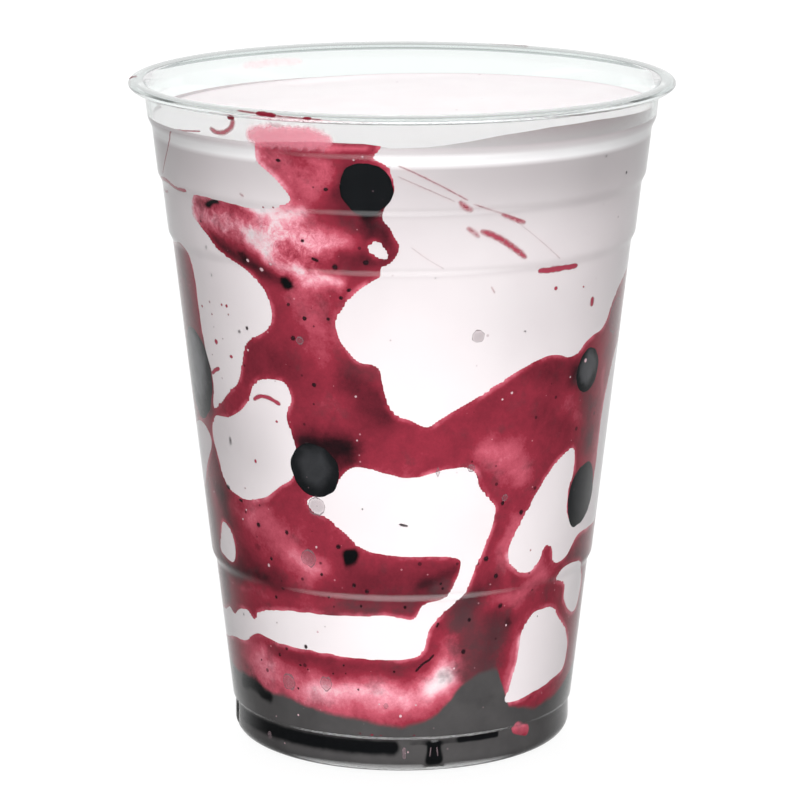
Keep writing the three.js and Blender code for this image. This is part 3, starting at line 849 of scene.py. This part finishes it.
marks = {
    "sauce_smears": makeMarks("sauce_smears", smears),
    "wall_films": makeMarks("wall_films", films),
    "rim_drips": makeMarks("rim_drips", rimDrips),
    "seed_flecks": makeMarks("seed_flecks", seedFlecks),
    "pale_dots": makeMarks("pale_dots", paleDotsAndHighlights),
    "bubble_discs": makeMarks("bubble_discs", bubblesAndFootGlints),
}
print("marks")


# Materials.

class Sock:  # a node's socket that takes part in sums
    def __init__(self, paint, socket):
        self.paint = paint
        self.socket = socket

    def math(self, operation, *values):
        return self.paint.add("Math", {"operation": operation}, dict(enumerate(values)))

    def __add__(self, other):
        return self.math("ADD", self, other)

    def __radd__(self, other):
        return self.math("ADD", other, self)

    def __sub__(self, other):
        return self.math("SUBTRACT", self, other)

    def __rsub__(self, other):
        return self.math("SUBTRACT", other, self)

    def __mul__(self, other):
        return self.math("MULTIPLY", self, other)

    def __rmul__(self, other):
        return self.math("MULTIPLY", other, self)

    def __truediv__(self, other):
        return self.math("DIVIDE", self, other)

    def within(self, low, high):  # 0 below low, 1 above high, soft between
        settings = {"interpolation_type": "SMOOTHSTEP"}
        return self.paint.add("MapRange", settings, {0: self, 1: low, 2: high, 3: 0, 4: 1})


class Paint:  # builds the nodes of a material or of the world
    def __init__(self, owner):
        owner.use_nodes = True
        self.owner = owner
        self.tree = owner.node_tree
        self.tree.nodes.clear()

    def add(self, kind, settings=None, sockets=None, out=0):
        node = self.tree.nodes.new("ShaderNode" + kind)
        for name, value in (settings or {}).items():
            if name == "stops":
                self.setStops(node.color_ramp, value)
            else:
                setattr(node, name, value)
        for name, value in (sockets or {}).items():
            if isinstance(value, Sock):
                self.tree.links.new(value.socket, node.inputs[name])
            else:
                node.inputs[name].default_value = value
        return Sock(self, node.outputs[out]) if node.outputs else None

    def setStops(self, ramp, stops):
        while len(ramp.elements) < len(stops):
            ramp.elements.new(0.5)
        for element, (position, colour) in zip(ramp.elements, stops):
            element.position = position
            element.color = colour

    def mix(self, factor, first, second, blend="MIX"):
        settings = {"data_type": "RGBA", "blend_type": blend}
        return self.add("Mix", settings, {0: factor, 6: first, 7: second}, out=2)

    def field(self, name):
        return self.add("Attribute", {"attribute_name": name}, out="Fac")

    def cloud(self, where, size, detail=3, roughness=0.55, distortion=0):
        sockets = {"Vector": where, "Scale": 1 / (size * mm), "Detail": detail, "Roughness": roughness,
                   "Distortion": distortion}
        return self.add("TexNoise", {}, sockets)

    def specks(self, where, spacing, size):
        # 1 inside small round spots, which sit in some of the cells
        cells = {"Vector": where, "Scale": 1 / (spacing * mm)}
        distance = self.add("TexVoronoi", {}, cells, out="Distance")
        pick = self.add("SeparateColor", {}, {0: self.add("TexVoronoi", {}, cells, out="Color")})
        reach = pick * (size / spacing)
        return 1 - (distance / reach).within(0.6, 1)

    def finish(self, shader, kind="Material"):
        self.add("Output" + kind, {}, {"Surface": shader})
        return self.owner


def sauceMaterial():
    paint = Paint(bpy.data.materials.new("blueberry sauce"))
    where = paint.add("TexCoord", out="Object")
    broad = paint.cloud(where, 8, 4, distortion=0.8) - 0.5
    fine = paint.cloud(where, 1.6, 5, roughness=0.65) - 0.5
    grain = paint.cloud(where, 0.45, 2, roughness=0.8) - 0.5
    streaks = paint.cloud(where, 1.9, 6, roughness=0.78, distortion=0.5) - 0.5
    soft = 1 - paint.field("margin").within(0, 1.3)
    depth = 0.57 + paint.field("thickness") + broad * 0.26 + fine * 0.16 + grain * 0.1
    thinEdge = soft * (0.05 + broad.within(-0.1, 0.1) * 0.24)
    depth = depth + streaks * paint.field("marbled") * 0.8 - thinEdge
    stops = [(0, tone(244, 226, 230)), (0.1, tone(246, 206, 213)), (0.22, tone(240, 150, 166)),
             (0.36, tone(201, 90, 108)), (0.52, tone(152, 47, 64)), (0.7, tone(111, 34, 47)),
             (0.86, tone(66, 24, 32)), (1, tone(28, 24, 28))]
    colour = paint.add("ValToRGB", {"stops": stops}, {0: depth})
    dirt = paint.cloud(where, 5, 5, roughness=0.62).within(0.48, 0.7) * 0.4
    grey = (paint.field("smoke") + dirt + fine * 0.5).within(0, 1) * 0.85
    colour = paint.mix(grey, colour, tone(80, 56, 60))
    seeds = paint.specks(where, 3.4, 0.5) * 0.7
    colour = paint.mix(seeds, colour, tone(52, 20, 28))
    bubbles = paint.specks(where, 2.3, 0.24) * 0.45
    colour = paint.mix(bubbles, colour, tone(230, 160, 172))
    inPool = (paint.field("pool") + fine * 0.7).within(-0.8, 0.5)
    charcoal = paint.mix(paint.cloud(where, 6, 5), tone(65, 62, 63), tone(91, 87, 87))
    charcoal = paint.mix(paint.specks(where, 2.1, 0.2) * 0.4, charcoal, tone(180, 150, 154))
    colour = paint.mix(inPool, colour, charcoal)
    # black blotches, and painted shade under the foot's ledge and in its notch
    blackAndPaintedShade = (paint.field("black") + fine * 0.3).within(0.2, 0.75)
    colour = paint.mix(blackAndPaintedShade, colour, tone(9, 10, 12))
    bump = paint.add("Bump", {}, {"Height": fine, "Strength": 0.1, "Distance": 0.1 * mm})
    return paint.finish(paint.add("BsdfPrincipled", {}, {
        "Base Color": colour, "Roughness": 0.5, "Specular IOR Level": 0.05, "Normal": bump}))


def shakeMaterial():
    paint = Paint(bpy.data.materials.new("milkshake"))
    where = paint.add("TexCoord", out="Object")
    broad = paint.cloud(where, 12, 3)
    top = paint.mix(broad, tone(251, 246, 247), tone(244, 236, 238))
    side = paint.mix(broad, tone(251, 239, 241), tone(242, 228, 231))
    colour = paint.mix(paint.field("side"), top, side)
    colour = paint.mix(paint.field("blush") * 0.6, colour, tone(206, 172, 174))
    # the grey field darkens the shake: painted shade on its side
    colour = paint.mix(paint.field("grey"), colour, tone(66, 62, 64))
    seeds = paint.specks(where, 5, 0.35) * 0.4
    colour = paint.mix(seeds, colour, tone(150, 110, 120))
    return paint.finish(paint.add("BsdfPrincipled", {}, {
        "Base Color": colour, "Roughness": 0.5, "Specular IOR Level": 0.1}))


def berryMaterial():
    # nearly black skin, with a greyer face where the wall presses on it
    paint = Paint(bpy.data.materials.new("berry skin"))
    where = paint.add("TexCoord", out="Object")
    mottle = paint.cloud(where, 2.2, 5) - 0.5
    skin = paint.mix(paint.cloud(where, 4, 4), tone(5, 7, 9), tone(22, 23, 26))
    pressed = paint.mix(paint.cloud(where, 3, 4), tone(84, 82, 84), tone(168, 166, 172))
    inside = 1 - (paint.field("face") + mottle * 0.5).within(0.45, 0.95)
    colour = paint.mix(inside * paint.field("bloom"), skin, pressed)
    flecks = paint.specks(where, 1.6, 0.22) * 0.5
    colour = paint.mix(flecks, colour, tone(120, 96, 104))
    return paint.finish(paint.add("BsdfPrincipled", {}, {
        "Base Color": colour, "Roughness": 0.45, "Specular IOR Level": 0.1}))


def markMaterial(name, colour, solid, ring=0):
    # covers what is under it more in the middle than at its edge; ring is an outline's strength
    paint = Paint(bpy.data.materials.new(name))
    where = paint.add("TexCoord", out="Object")
    patchy = paint.cloud(where, 0.9, 4, roughness=0.7) - 0.5
    cover = paint.field("cover")
    alpha = (cover + patchy * 1.2 * cover).within(0.02, 0.75) * solid
    if ring:
        outline = cover.within(0.02, 0.16) * (1 - cover.within(0.2, 0.4))
        alpha = alpha.math("MAXIMUM", alpha, outline * ring)
    return paint.finish(paint.add("BsdfPrincipled", {}, {
        "Base Color": colour, "Roughness": 0.4, "Specular IOR Level": 0.1, "Alpha": alpha}))


def plasticMaterial():
    # clear plastic that bends light, and lets lamps through to what it holds
    paint = Paint(bpy.data.materials.new("clear plastic"))
    glass = paint.add("BsdfPrincipled", {}, {
        "Base Color": tone(244, 248, 247), "Roughness": 0.03, "IOR": 1.45, "Transmission Weight": 1.0,
        "Specular IOR Level": 0.3})
    clear = paint.add("BsdfTransparent", {}, {"Color": tone(246, 249, 249)})
    shadow = paint.add("LightPath", out="Is Shadow Ray")
    diffuse = paint.add("LightPath", out="Is Diffuse Ray")
    depth = paint.add("LightPath", out="Ray Depth")
    mostBounces = 3.5  # past these, light in the wall goes on, or the lip looks black
    trapped = depth.math("GREATER_THAN", depth, mostBounces)
    either = shadow.math("MAXIMUM", shadow, diffuse)
    either = either.math("MAXIMUM", either, trapped)
    return paint.finish(paint.add("MixShader", {}, {0: either, 1: glass, 2: clear}))


# The cup itself.

def cupProfile():
    wallTop = cup["height"] - 2.6 * cup["lipHalfHeight"]
    heights = ringHeights(cup["wallStart"][1] + 3, wallTop, 3)
    outside = baseProfile(0) + sideProfile(0, heights)
    inside = baseProfile(cup["thickness"]) + sideProfile(cup["thickness"], heights)
    middle = (cup["rimRadius"] - cup["lipHalfWidth"], cup["height"] - cup["lipHalfHeight"])

    def arc(shrink, start, end, steps):
        halfWidth, halfHeight = cup["lipHalfWidth"] - shrink, cup["lipHalfHeight"] - shrink
        turns = [math.radians(start + (end - start) * i / steps) for i in range(steps + 1)]
        return [(middle[0] + halfWidth * math.cos(turn), middle[1] + halfHeight * math.sin(turn))
                for turn in turns]

    hollow = arc(cup["lipThickness"], 150, -110, 14)
    lip = arc(0, -110, 160, 26)
    return outside + hollow + lip + inside[::-1]


notch = {  # angles are degrees
    "first": 10.8,
    "every": 90,
    "halfAngle": 2.2,
    "slant": 0.25,  # narrower by this angle for each millimetre up
    "slantFrom": 3,
    "softAngle": 1.2,
    "softHeight": 0.8,
    "bottom": 1,
    "top": 6.3,
    "depth": 0.42,
}


def notchFoot(piece):  # moulded notches round the outside of the foot
    half = notch["every"] / 2
    for vert in piece.data.vertices:
        angle = math.degrees(math.atan2(vert.co.x, -vert.co.y))
        height = vert.co.z / mm
        radius = math.hypot(vert.co.x, vert.co.y) / mm
        aside = abs((angle - notch["first"] + half) % notch["every"] - half) - notch["halfAngle"]
        aside += notch["slant"] * (height - notch["slantFrom"])
        if radius > cup["footRadius"] - 0.4 and notch["bottom"] < height < notch["top"]:
            dent = notch["depth"] * (1 - smooth(aside / notch["softAngle"]))
            dent *= smooth((height - notch["bottom"]) / notch["softHeight"])
            dent *= smooth((notch["top"] - height) / notch["softHeight"])
            vert.co.x *= 1 - dent / radius
            vert.co.y *= 1 - dent / radius


print("cup")
cupPiece = turned(cupProfile(), "cup wall", cup["turnSteps"])
notchFoot(cupPiece)
print("  cup", len(cupPiece.data.polygons))

materials = {
    "plastic": plasticMaterial(),
    "sauce": sauceMaterial(),
    "shake": shakeMaterial(),
    "berry": berryMaterial(),
    "sauce_smears": markMaterial("sauce smear", tone(176, 58, 80), 0.85),
    "wall_films": markMaterial("wall film", tone(236, 140, 158), 0.62),
    "rim_drips": markMaterial("rim drip", tone(118, 24, 42), 0.95),
    "seed_flecks": markMaterial("seed fleck", tone(38, 20, 26), 0.85),
    # pale dots are mostly painted highlights
    "pale_dots": markMaterial("pale dot and highlight", tone(244, 200, 208), 0.8),
    # bubbles, and painted glints in the foot
    "bubble_discs": markMaterial("bubble and foot glint", tone(140, 118, 124), 0.28, 0.6),
}


def finishPiece(piece, material, slot, *nodes):
    sharpen(piece)
    piece.data.materials.clear()
    piece.data.materials.append(material)
    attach(piece, "root")
    if nodes:
        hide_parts(*nodes)


cupPiece.name = "clear_cup"
sauce.name = "blueberry_sauce_swirls"
shake.name = "milkshake_body"
finishPiece(cupPiece, materials["plastic"], "clear_plastic", "cup")
finishPiece(sauce, materials["sauce"], "blueberry_sauce", "blueberry_sauce")
finishPiece(shake, materials["shake"], "milkshake", "milkshake")
for name, piece in marks.items():
    finishPiece(piece, materials[name], "blueberry_sauce")
for name, piece in berryPieces.items():
    piece.name = name + "_skin"
    finishPiece(piece, materials["berry"], "berry_skin", name)


# Camera, lights and floor.

camera = {
    "distance": 0.700,
    "height": 0.21908,
    "pitch": 0.22145,  # looks down by this many radians
    "lens": 176.99,
    "aside": -0.00036,  # the cup stands a little right of the middle
}

worldLight = {
    "sky": 0.18,
    "shineFront": 0.06,
    "shineBack": 0.9,
    "shineDown": 5,
}

lampTarget = (0, 0, 0.06)  # the middle of the cup
lamps = {
    "key": {"at": (0.1, -1.7, 0.3), "size": 0.6, "power": 35.5},
    "back": {"at": (-0.1, 1.7, 0.3), "size": 0.6, "power": 24},
    "top": {"at": (0, 0.1, 1.4), "size": 1.2, "power": 13},
}


def makeCamera():
    data = bpy.data.cameras.new("camera")
    data.lens = camera["lens"]
    data.sensor_width = 36
    data.clip_start = 0.01
    seen = bpy.data.objects.new("camera", data)
    seen.location = (camera["aside"], -camera["distance"], camera["height"])
    seen.rotation_euler = (math.pi / 2 - camera["pitch"], 0, 0)
    bpy.context.scene.collection.objects.link(seen)
    bpy.context.scene.camera = seen


def softLight(name, settings):  # a square lamp
    data = bpy.data.lights.new(name, "AREA")
    data.shape = "RECTANGLE"
    data.size = settings["size"]
    data.size_y = settings["size"]
    data.energy = settings["power"]
    lamp = bpy.data.objects.new(name, data)
    lamp.location = settings["at"]
    towards = Vector(lampTarget) - Vector(settings["at"])
    lamp.rotation_euler = towards.to_track_quat("-Z", "Y").to_euler()
    lamp.visible_glossy = False  # the world is what the plastic mirrors
    lamp.visible_transmission = False
    bpy.context.scene.collection.objects.link(lamp)


def makeWorld():
    # white behind the cup; what the plastic mirrors is dim in front, white at the back and bright below
    world = bpy.data.worlds.new("studio")
    bpy.context.scene.world = world
    paint = Paint(world)
    towards = paint.add("TexCoord", out="Generated")
    back = paint.add("SeparateXYZ", {}, {0: towards}, out="Y").within(0.2, 1.1)
    down = 1 - paint.add("SeparateXYZ", {}, {0: towards}, out="Z").within(-0.95, -0.72)
    shine = back * (worldLight["shineBack"] - worldLight["shineFront"]) + worldLight["shineFront"]
    shine = shine.math("MAXIMUM", shine, down * worldLight["shineDown"])
    white = {"Color": (1, 1, 1, 1)}
    seen = paint.add("Background", {}, {**white, "Strength": 1.0})
    sky = paint.add("Background", {}, {**white, "Strength": worldLight["sky"]})
    gloss = paint.add("Background", {}, {**white, "Strength": shine})
    diffuse = paint.add("LightPath", out="Is Diffuse Ray")
    glossy = paint.add("LightPath", out="Is Glossy Ray")
    lit = paint.add("MixShader", {}, {0: diffuse, 1: seen, 2: sky})
    both = paint.add("MixShader", {}, {0: glossy, 1: lit, 2: gloss})
    paint.finish(both, "World")


def makeFloor():
    bm = bmesh.new()
    bmesh.ops.create_circle(bm, cap_ends=True, segments=96, radius=4)
    floor = newPiece(bm, "floor")
    floor.location.z = -0.2 * mm
    floor.visible_glossy = False
    floor.visible_diffuse = False
    paint = Paint(bpy.data.materials.new("floor"))
    lit = paint.add("BsdfDiffuse", {}, {"Color": (0.16, 0.16, 0.16, 1)})
    glowing = paint.add("Emission", {}, {"Color": (1, 1, 1, 1), "Strength": 0.9})
    floor.data.materials.append(paint.finish(paint.add("AddShader", {}, {0: lit, 1: glowing})))


makeCamera()
makeWorld()
makeFloor()
for name, settings in lamps.items():
    softLight(name, settings)
bpy.context.scene.view_settings.view_transform = "Standard"
